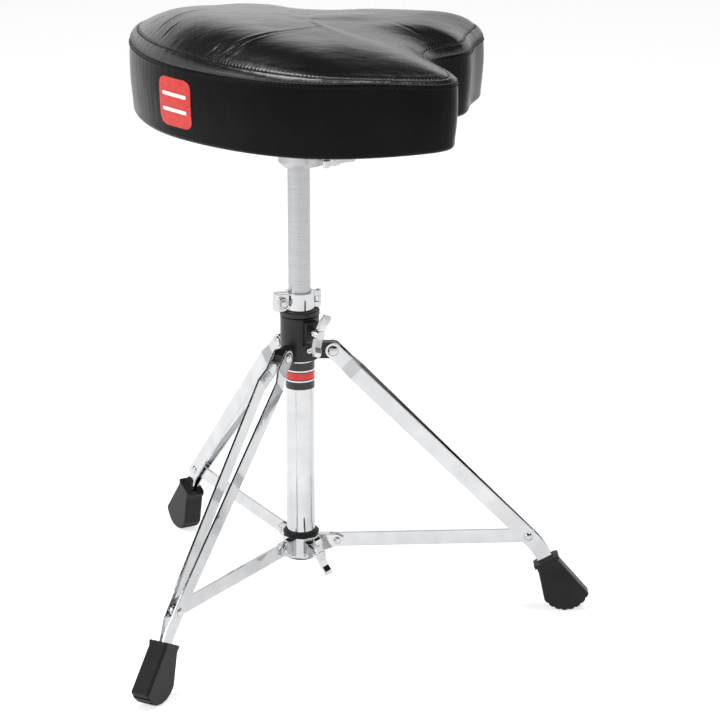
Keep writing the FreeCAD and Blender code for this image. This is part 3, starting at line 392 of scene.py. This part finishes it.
OUTWARD = outward(OUTLINE)
NOSE = np.array([math.cos(SEAT_TURN), math.sin(SEAT_TURN)])
SIDE = np.array([-math.sin(SEAT_TURN), math.cos(SEAT_TURN)])


def forward_of(points):
    return (points - np.array([POST.x, POST.y])) @ NOSE


def aside_of(points):
    return (points - np.array([POST.x, POST.y])) @ SIDE


def seam_height(points):
    return BOTTOM + SEAM_RISE - NOSE_FALL * smooth_step((forward_of(points) + 40 * MM) / (100 * MM))


def wall_distance(points):
    """How far each point is from the outline."""
    nearest = np.full(len(points), 1.0)
    for start in range(0, FINE_COLUMNS, 40):
        part = OUTLINE[start:start + 40:2]
        gaps = np.linalg.norm(points[:, None, :] - part[None, :, :], axis=2).min(axis=1)
        nearest = np.minimum(nearest, gaps)
    return nearest


def crown_share(points):
    """How much of the crown's rise each point has: it rises steeply from the seam and levels off inside."""
    nose = smooth_step((forward_of(points) + 20 * MM) / (120 * MM))
    reach = CROWN_REACH + (NOSE_REACH - CROWN_REACH) * nose
    share = np.clip(wall_distance(points) / reach, 0.0, 1.0)
    return (1.0 - (1.0 - share) ** CROWN_LEVEL) ** CROWN_STEEP


def crown_height(points, full):
    """The padded top, between the seam and a dome that falls to the sides and towards the nose."""
    forward, aside = forward_of(points), aside_of(points)
    dome = BOTTOM + CROWN_RISE - CROWN_SLOPE * forward + CROWN_SWEEP * forward ** 2 - CROWN_ARCH * aside ** 2
    edge = seam_height(points)
    return edge + (dome - edge) * full


def tapered(share):
    """How far the wall leans in at a share of its height: most at the bottom."""
    return WALL_TAPER * (1.0 - share) ** 2


def rim_row(inset, rise):
    """A row that follows the outline at a distance inside it, at a height above the bottom edge."""
    points = OUTLINE - OUTWARD * inset
    return np.column_stack([points, np.full(len(points), BOTTOM + rise)])


def wall_row(share, bulge):
    """A row of the wall at a share of its height, standing out by a bulge."""
    points = OUTLINE + OUTWARD * (bulge - tapered(share))
    low = BOTTOM + WALL_LOW
    return np.column_stack([points, low + (seam_height(OUTLINE) - WALL_HIGH - low) * share])


def seam_row(inset, rise):
    """A row beside the seam, at a distance inside the outline and a height above the seam line."""
    return np.column_stack([OUTLINE - OUTWARD * inset, seam_height(OUTLINE) + rise])


def evened(shares, spread):
    """Blurs a closed row of numbers over a number of columns, so that no corner leaves a ridge."""
    waves = np.fft.rfft(shares)
    turns = np.arange(len(waves)) / len(shares)
    waves *= np.exp(-2.0 * (math.pi * spread * turns) ** 2)
    return np.fft.irfft(waves, len(shares))


def crown_rim_row(inset, lift):
    """A row of the crown that follows the outline at a distance inside it, lifted off the crown."""
    points = OUTLINE - OUTWARD * inset
    return np.column_stack([points, crown_height(points, crown_share(points)) + lift])


def crown_row(share):
    """A row of the crown, shrunk towards the post axis from the last row that follows the rim."""
    centre = np.array([POST.x, POST.y])
    points = centre + (OUTLINE - OUTWARD * CROWN_INSET - centre) * share
    full = evened(crown_share(points), min(CROWN_EVEN / share, EVEN_LIMIT))
    return np.column_stack([points, crown_height(points, full)])


def cover_rows():
    """Every row of the cover, from the middle of the underside to the middle of the top.

    Also returns which row is the seam and which is the topstitch.
    """
    inner = BOARD_INSET - 0.4 * MM
    recess = BOARD_TOP + 0.4 * MM - BOTTOM
    centre = np.array([POST.x, POST.y])
    rows = []
    for share in (0.02, 0.5, 0.98):
        points = centre + (OUTLINE - OUTWARD * inner - centre) * share
        rows.append(np.column_stack([points, np.full(len(points), BOTTOM + recess)]))
    rows += [rim_row(inner, recess), rim_row(inner, recess - 2 * MM)]
    rows += [rim_row(inner, 1.5 * MM), rim_row(inner - 1 * MM, 0.0)]
    for turn in EDGE_TURNS:
        angle = math.radians(turn)
        inset = WALL_TAPER + WALL_ROUND * (1 - math.sin(angle))
        rows.append(rim_row(inset, WALL_ROUND * (1 - math.cos(angle)) - RIM_DROP))
    for share in np.linspace(0.03, 1.0, 20):
        rows.append(wall_row(share, 0.7 * MM * math.sin(math.pi * share)))
    rows.append(seam_row(-0.2 * MM, -1.9 * MM))
    rows.append(seam_row(0.2 * MM, -0.8 * MM))
    seam = len(rows)
    rows.append(seam_row(2.2 * MM, -0.1 * MM))
    rows.append(seam_row(0.4 * MM, 0.9 * MM))
    for share in np.linspace(0.12, 0.9, 7):
        puff = 1.5 * MM * math.sin(math.pi * share)
        rows.append(crown_rim_row(0.5 * MM + PIPE_WIDTH * share, puff))
    topstitch = len(rows)
    rows.append(crown_rim_row(PIPE_WIDTH + 0.5 * MM, -1.2 * MM))
    for inset in (8.9, 9.9, 11.2, 12.7, 14.4):
        rows.append(crown_rim_row(inset * MM, 0.35 * MM))
    for share in np.linspace(0.988, 0.01, 100):
        rows.append(crown_row(share))
    return np.array(rows), seam, topstitch


# ---- cloth: the cover is blown up a little like vinyl over foam, and the fine cover moves with it

SWELL_LIMIT = 1.0 * MM
SWELL_FRAMES = 20
SWELL_PRESSURE = 1.0


def broad(change):
    """Evens a change out over its neighbours, so that only the broad swelling stays."""
    for _ in range(12):
        change = (np.roll(change, 1, axis=1) + change + np.roll(change, -1, axis=1)) / 3
    for _ in range(3):
        change[1:-1] = (change[:-2] + change[1:-1] + change[2:]) / 3
    change[-3:] = change[-3:].mean(axis=1, keepdims=True)
    return change


def swell(rows, seam, topstitch):
    """Simulates a coarse copy of the cover as cloth under pressure and returns how each fine point moves.

    The free cloth would crumple the crown, so each move is held to SWELL_LIMIT and only its broad part kept.
    """
    picked = sorted(set(range(0, len(rows), COARSE_STEP)) | {seam, topstitch, len(rows) - 1})
    coarse = rows[picked][:, ::COARSE_STEP]
    count, columns = coarse.shape[:2]
    points = coarse.reshape(-1, 3)
    faces = grid_faces(count, columns)
    faces.append(tuple(range(columns))[::-1])
    faces.append(tuple((count - 1) * columns + column for column in range(columns)))
    piece = make_mesh("cover_cloth", points, faces, PAINTS["vinyl"])
    held = piece.vertex_groups.new(name="held")
    for row, source in enumerate(picked):
        if source <= WALL_START or source in (seam, topstitch):
            held.add(list(range(row * columns, (row + 1) * columns)), 1.0, "REPLACE")
    cloth = piece.modifiers.new("cloth", "CLOTH")
    cloth.settings.quality = 6
    cloth.settings.mass = 0.4
    cloth.settings.tension_stiffness = 25.0
    cloth.settings.compression_stiffness = 25.0
    cloth.settings.shear_stiffness = 12.0
    cloth.settings.bending_stiffness = 1.5
    cloth.settings.use_pressure = True
    cloth.settings.uniform_pressure_force = SWELL_PRESSURE
    cloth.settings.vertex_group_mass = "held"
    cloth.settings.effector_weights.gravity = 0.0
    cloth.collision_settings.use_collision = False
    scene = bpy.context.scene
    cloth.point_cache.frame_start = 1
    cloth.point_cache.frame_end = SWELL_FRAMES
    for step in range(1, SWELL_FRAMES + 1):
        scene.frame_set(step)
    shaped = piece.evaluated_get(bpy.context.evaluated_depsgraph_get())
    moved = np.empty(len(points) * 3, np.float32)
    shaped.data.vertices.foreach_get("co", moved)
    change = moved.reshape(-1, 3) - points
    scene.frame_set(1)
    bpy.data.objects.remove(piece)
    length = np.linalg.norm(change, axis=1)[:, None] + 1e-9
    change *= np.minimum(1.0, SWELL_LIMIT / length)
    change = broad(change.reshape(count, columns, 3))
    print("cover swelled by %.2f mm at most" % (np.linalg.norm(change, axis=2).max() / MM))
    wide = np.concatenate([change, change[:, :1]], axis=1)
    coarse_at = np.arange(columns + 1) * COARSE_STEP
    fine_at = np.arange(rows.shape[1])
    across = np.array([[np.interp(fine_at, coarse_at, wide[row, :, axis]) for axis in range(3)]
                       for row in range(count)])
    result = np.zeros_like(rows)
    for axis in range(3):
        for column in fine_at:
            result[:, column, axis] = np.interp(np.arange(len(rows)), picked, across[:, axis, column])
    return result


# ---- creases: shallow folds that the eye finds on the crown and round the wall

# Long creases on the crown: (forward, aside) points in millimetres from the post, then depth and width.
CREASES = (
    (((-130, -83), (-120, -93), (-101, -87), (-78, -84), (-29, -62), (11, -47)), 1.0, 1.9),
    (((-134, -92), (-112, -94), (-93, -88), (-80, -84)), 0.8, 1.6),
    (((-137, -72), (-124, -76), (-110, -74)), 0.6, 1.5),
    (((-143, 20), (-124, 32), (-98, 42), (-60, 52)), 0.7, 1.7),
    (((-141, 2), (-127, 8), (-114, 10)), 0.7, 1.6),
    (((-131, 74), (-112, 66), (-90, 62)), 0.4, 2.0),
    (((96, -66), (84, -48), (80, -26)), 0.25, 2.4),
    (((96, 66), (84, 48), (80, 26)), 0.25, 2.4),
)


CREASE_HEM = 14.0 * MM              # creases fade out over this distance from the wall
SCALLOP = 0.21 * MM                 # how much the vinyl is drawn in at each stitch
STITCH_PITCH = 4.0 * MM
STITCH_COUNT = int(OUTLINE_LENGTH / STITCH_PITCH)


def curve_points(points, count=40):
    """Evenly spaced points on a line through a few places, with its corners evened out."""
    points = np.array(points, float)
    steps = np.concatenate([[0.0], np.cumsum(np.linalg.norm(np.diff(points, axis=0), axis=1))])
    along = np.linspace(0.0, steps[-1], count)
    coarse = np.stack([np.interp(along, steps, points[:, axis]) for axis in (0, 1)], axis=1)
    for _ in range(6):
        coarse[1:-1] = (coarse[:-2] + coarse[1:-1] + coarse[2:]) / 3
    return coarse


def crease_depth(points):
    """How deep the long creases are at each point of the crown."""
    place = np.stack([forward_of(points), aside_of(points)], axis=1) / MM
    depth = np.zeros(len(points))
    for route, deepest, width in CREASES:
        line = curve_points(route)
        fade = np.sin(np.linspace(0.0, math.pi, len(line))) ** 0.5 * np.linspace(1.0, 0.4, len(line))
        gaps = np.linalg.norm(place[:, None, :] - line[None, :, :], axis=2)
        nearest = gaps.argmin(axis=1)
        gap = gaps.min(axis=1)
        fold = np.exp(-(gap / width) ** 2) - 0.55 * np.exp(-((gap - 2.1 * width) / width) ** 2)
        depth += deepest * MM * fade[nearest] * fold
    return depth


def wave(along, scale, level, layer=0.0):
    """Smooth noise of about -1 to 1 along the outline, from one of many independent layers."""
    return np.array([noise.noise(Vector((step * scale, level, layer))) for step in along])


def ripple(points, scale, stretch):
    """Smooth noise of about -1 to 1 in the seat's own directions."""
    values = []
    for x, y, z in points:
        place = Vector((x * NOSE[0] + y * NOSE[1], x * SIDE[0] + y * SIDE[1], z))
        values.append(noise.noise(place * Vector(stretch) * scale))
    return np.array(values)


def add_creases(rows, seam, topstitch):
    """Creases on the crown, puckers at the stitch rows and upright ripples on the wall."""
    columns = rows.shape[1]
    along = np.arange(columns) / columns * OUTLINE_LENGTH
    crown = rows[topstitch + 1:].reshape(-1, 3)
    inside = smooth_step(wall_distance(crown[:, :2]) / CREASE_HEM - 0.6)
    crown[:, 2] -= crease_depth(crown[:, :2]) * inside
    crown[:, 2] += 0.22 * MM * inside * ripple(crown, 24.0, (1.0, 3.2, 1.0))
    crown[:, 2] += 0.07 * MM * inside * ripple(crown, 85.0, (1.0, 2.4, 1.0))
    rows[topstitch + 1:] = crown.reshape(-1, columns, 3)
    pucker = wave(along, 95.0, 4.0)
    slow = wave(along, 26.0, 9.0)
    for row in range(seam + 1, topstitch + 8):
        near = 1.0 - abs(row - (seam + topstitch) / 2) / (topstitch - seam + 8)
        rows[row, :, 2] += (0.38 * pucker + 0.25 * slow) * MM * near
    scallop = SCALLOP * np.cos(2 * math.pi * STITCH_COUNT * along / OUTLINE_LENGTH)
    for row in (seam - 1, seam + 1, topstitch - 1, topstitch + 1):
        rows[row, :, :2] += OUTWARD * scallop[:, None]
        rows[row, :, 2] += scallop
    wall = rows[WALL_START + 2:seam - 1]
    for row in range(len(wall)):
        share = row / (len(wall) - 1)
        upright = wave(along, 42.0, share * 1.4, 2.0)
        fine = wave(along, 130.0, share * 2.2, 7.0)
        offset = (0.40 * upright + 0.12 * fine) * MM * math.sin(math.pi * min(1.0, 0.15 + share))
        wall[row, :, 0] += OUTWARD[:, 0] * offset
        wall[row, :, 1] += OUTWARD[:, 1] * offset
    return rows


def make_cushion():
    """The finished cover, in place of the CAD cushion, with its rows and where its two stitch rows are."""
    rows, seam, topstitch = cover_rows()
    rows = rows + swell(rows, seam, topstitch)
    rows = add_creases(rows, seam, topstitch)
    count, columns = rows.shape[:2]
    faces = grid_faces(count, columns)
    faces.append(tuple(range(columns))[::-1])
    points = rows.reshape(-1, 3).tolist()
    last = (count - 1) * columns
    points.append([POST.x, POST.y, float(rows[-1, :, 2].mean())])
    for column in range(columns):
        faces.append((last + column, last + (column + 1) % columns, len(points) - 1))
    piece = make_mesh("cushion_cover", points, faces, PAINTS["vinyl"])
    # painted shade: the faces below the seam and the underside cap get the duller copy of the vinyl, so the
    # wall reads darker
    piece.data.materials.append(SHADED_WALL_VINYL)
    below_seam = list(piece.data.polygons[:seam * columns])
    underside_cap = piece.data.polygons[last]
    for polygon in below_seam + [underside_cap]:
        polygon.material_index = 1
    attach(piece, "seat")
    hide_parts("seat_cushion")
    return rows, seam, topstitch


# ---------------------------------------------------------------- stitches and print

STITCH_LENGTH = 2.8 * MM
STITCH_THICK = 1.0 * MM
STITCH_SIDES = 6
# Half of a stitch from its middle to one end: how far along, how thick and how high, as shares of its size.
STITCH_HALF = ((0.0, 1.0, 0.1), (0.36, 0.8, -0.15), (0.5, 0.35, -0.6))


def along_row(row, distance):
    """The point at a distance along a closed row, and the way the row runs there."""
    place = distance / OUTLINE_LENGTH * len(row)
    low = int(place) % len(row)
    high = (low + 1) % len(row)
    point = row[low] + (row[high] - row[low]) * (place - int(place))
    return point, row[high] - row[low]


def make_stitches(name, row, lift):
    """A row of short, slightly arched stitches that dip into the cover at both ends."""
    points, faces = [], []
    profile = [(-along, girth, rise) for along, girth, rise in STITCH_HALF[:0:-1]] + list(STITCH_HALF)
    for number in range(STITCH_COUNT):
        centre, way = along_row(row, OUTLINE_LENGTH * number / STITCH_COUNT)
        way = Vector(way).normalized()
        out = OUTWARD[int(number / STITCH_COUNT * FINE_COLUMNS) % FINE_COLUMNS]
        up = Vector((out[0] * lift[0], out[1] * lift[0], lift[1])).normalized()
        up = (up - way * up.dot(way)).normalized()
        across = way.cross(up)
        first = len(points)
        for reach, girth, rise in profile:
            ring = Vector(centre) + way * (reach * STITCH_LENGTH) + up * ((rise + 0.35) * STITCH_THICK)
            for side in range(STITCH_SIDES):
                angle = 2 * math.pi * side / STITCH_SIDES
                spoke = across * math.cos(angle) + up * math.sin(angle)
                points.append(ring + spoke * (girth * STITCH_THICK / 2))
        for ring in range(len(profile) - 1):
            for side in range(STITCH_SIDES):
                after = (side + 1) % STITCH_SIDES
                low, high = first + ring * STITCH_SIDES, first + (ring + 1) * STITCH_SIDES
                faces.append((low + side, low + after, high + after, high + side))
        faces.append(tuple(first + side for side in range(STITCH_SIDES))[::-1])
        end = first + (len(profile) - 1) * STITCH_SIDES
        faces.append(tuple(end + side for side in range(STITCH_SIDES)))
    piece = make_mesh(name, points, faces, thread_paint())
    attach(piece, "seat")


# The printed badge: a plain red square with rounded corners and two white lines across it.
BADGE_DIRECTION = math.radians(224.0)    # where it is on the wall, about the post
BADGE_WIDTH = 50.0 * MM
BADGE_HEIGHT = 46.0 * MM
BADGE_CORNER = 9.0 * MM
BADGE_RISE = 34.0 * MM                   # its middle above the bottom edge
LINE_WIDTH = 38.0 * MM
LINE_HEIGHT = 3.6 * MM
LINE_STEPS = (-0.16, 0.16)               # how far each line is from the middle, as a share of the height
PRINT_LIFT = 0.35 * MM
PRINT_ROWS = 25
PRINT_COLUMNS = 21


class Plate:
    """A rounded rectangle on the wall, with its middle at a height above the bottom edge."""

    def __init__(self, width, height, corner, rise):
        self.half_width = width / 2
        self.half_height = height / 2
        self.corner = corner
        self.rise = rise

    def half_width_at(self, share):
        """Half its width at a share of its half height."""
        into = max(0.0, abs(share) * self.half_height - self.half_height + self.corner)
        return self.half_width - self.corner + math.sqrt(max(0.0, self.corner ** 2 - into ** 2))


def make_print(name, wall, material, plate, lift):
    """A thin skin that follows the wall's rows, lifted off them, with the outline of a plate."""
    directions = np.arctan2(OUTLINE[:, 1] - POST.y, OUTLINE[:, 0] - POST.x)
    gap = np.abs(np.angle(np.exp(1j * (directions - BADGE_DIRECTION))))
    centre = gap.argmin() / FINE_COLUMNS * OUTLINE_LENGTH
    points, faces = [], []
    for share in np.linspace(-1.0, 1.0, PRINT_ROWS):
        half = plate.half_width_at(share)
        height = BOTTOM + plate.rise + share * plate.half_height
        for step in np.linspace(-1.0, 1.0, PRINT_COLUMNS):
            distance = (centre + step * half) % OUTLINE_LENGTH
            column = int(distance / OUTLINE_LENGTH * FINE_COLUMNS) % FINE_COLUMNS
            level = int(np.abs(wall[:, column, 2] - height).argmin())
            near = wall[level, column]
            other = wall[min(level + 1, len(wall) - 1), column]
            if height < near[2] and level > 0:
                other = wall[level - 1, column]
            blend = 0.0 if abs(other[2] - near[2]) < 1e-6 else (height - near[2]) / (other[2] - near[2])
            base, _ = along_row(wall[level], distance)
            deeper = base + (other - near) * blend
            out = OUTWARD[column]
            points.append((deeper[0] + out[0] * lift, deeper[1] + out[1] * lift, height))
    for row in range(PRINT_ROWS - 1):
        for column in range(PRINT_COLUMNS - 1):
            low, high = row * PRINT_COLUMNS + column, (row + 1) * PRINT_COLUMNS + column
            faces.append((low, low + 1, high + 1, high))
    piece = make_mesh(name, points, faces, material)
    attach(piece, "seat")


# ---------------------------------------------------------------- stage, light and camera

CAMERA_PLACE = (-0.0042, -2.5532, 1.0613)
CAMERA_DOWN = math.radians(17.345)
CAMERA_LENS = 135.0
FLOOR_SIZE = 40.0
FLOOR_GLOW = 0.62
# The world's grey from straight down (0) over the horizon (0.5) to straight up (1).
WORLD_STOPS = ((0.0, 1.1), (0.43, 1.1), (0.57, 0.02), (0.93, 0.02), (1.0, 0.3))
# Each light: its name, its place, what it points at, its size and its power in watts.
LIGHTS = (
    ("left_box", (-0.60, -0.10, 2.2), (-0.06, 0.0, 0.6), (0.75, 0.9), 22.0),
    ("right_box", (0.68, -0.10, 2.2), (-0.06, 0.0, 0.6), (0.40, 0.9), 10.0),
    ("left_fill", (-2.2, -0.9, 1.6), (0.0, 0.0, 0.4), (1.2, 1.6), 16.0),
)


def make_floor():
    bpy.ops.mesh.primitive_plane_add(size=FLOOR_SIZE)
    floor = bpy.context.object
    floor.name = "floor"
    paint = Paint("floor", (0.9, 0.9, 0.9), specular=0.2)
    paint.colour(paint.noise(0.6, 2.0), (0.89, 0.89, 0.89), (0.91, 0.91, 0.91))
    paint.shader.inputs["Roughness"].default_value = 0.9
    paint.shader.inputs["Emission Color"].default_value = (1.0, 1.0, 1.0, 1.0)
    paint.shader.inputs["Emission Strength"].default_value = FLOOR_GLOW
    floor.data.materials.append(paint.material)


def make_world():
    """A studio that is pale below the horizon and dark above it, which gives the chrome its contrast."""
    world = bpy.data.worlds.new("studio")
    bpy.context.scene.world = world
    world.use_nodes = True
    tree = world.node_tree
    background = tree.nodes["Background"]
    place = tree.nodes.new("ShaderNodeTexCoord")
    split = tree.nodes.new("ShaderNodeSeparateXYZ")
    ramp = tree.nodes.new("ShaderNodeValToRGB")
    elements = ramp.color_ramp.elements
    while len(elements) < len(WORLD_STOPS):
        elements.new(0.5)
    for element, (position, grey) in zip(elements, WORLD_STOPS):
        element.position = position
        element.color = (grey, grey, grey, 1.0)
    tree.links.new(place.outputs["Generated"], split.inputs["Vector"])
    tree.links.new(split.outputs["Z"], ramp.inputs["Fac"])
    tree.links.new(ramp.outputs["Color"], background.inputs["Color"])
    background.inputs["Strength"].default_value = 1.0


def make_light(name, place, target, size, power):
    data = bpy.data.lights.new(name, "AREA")
    data.shape = "RECTANGLE"
    data.size, data.size_y = size
    data.energy = power
    light = bpy.data.objects.new(name, data)
    light.location = place
    light.rotation_euler = (Vector(target) - Vector(place)).to_track_quat("-Z", "Y").to_euler()
    bpy.context.scene.collection.objects.link(light)


def make_camera():
    data = bpy.data.cameras.new("camera")
    data.lens = CAMERA_LENS
    data.sensor_width = 36.0
    camera = bpy.data.objects.new("camera", data)
    camera.location = CAMERA_PLACE
    camera.rotation_euler = (math.pi / 2 - CAMERA_DOWN, 0.0, 0.0)
    bpy.context.scene.collection.objects.link(camera)
    bpy.context.scene.camera = camera


bpy.context.scene.view_settings.view_transform = "Standard"
make_camera()
make_floor()
make_world()
for light in LIGHTS:
    make_light(*light)
paint_cad_nodes()
cover, seam_index, topstitch_index = make_cushion()
make_stitches("seam_stitches", cover[seam_index - 3], (1.0, 0.15))
make_stitches("top_stitches", cover[topstitch_index], (0.55, 1.0))
wall_rows = cover[WALL_START:seam_index - 1]
red_ink = print_paint("red_print", (0.50, 0.020, 0.016), (0.64, 0.034, 0.026))
white_ink = print_paint("white_print", (0.74, 0.74, 0.73), (0.84, 0.84, 0.83))
ground = Plate(BADGE_WIDTH, BADGE_HEIGHT, BADGE_CORNER, BADGE_RISE)
make_print("badge_ground", wall_rows, red_ink, ground, PRINT_LIFT)
for number, step in enumerate(LINE_STEPS, start=1):
    line = Plate(LINE_WIDTH, LINE_HEIGHT, LINE_HEIGHT / 2, BADGE_RISE + step * BADGE_HEIGHT)
    make_print("badge_line_%d" % number, wall_rows, white_ink, line, 2 * PRINT_LIFT)
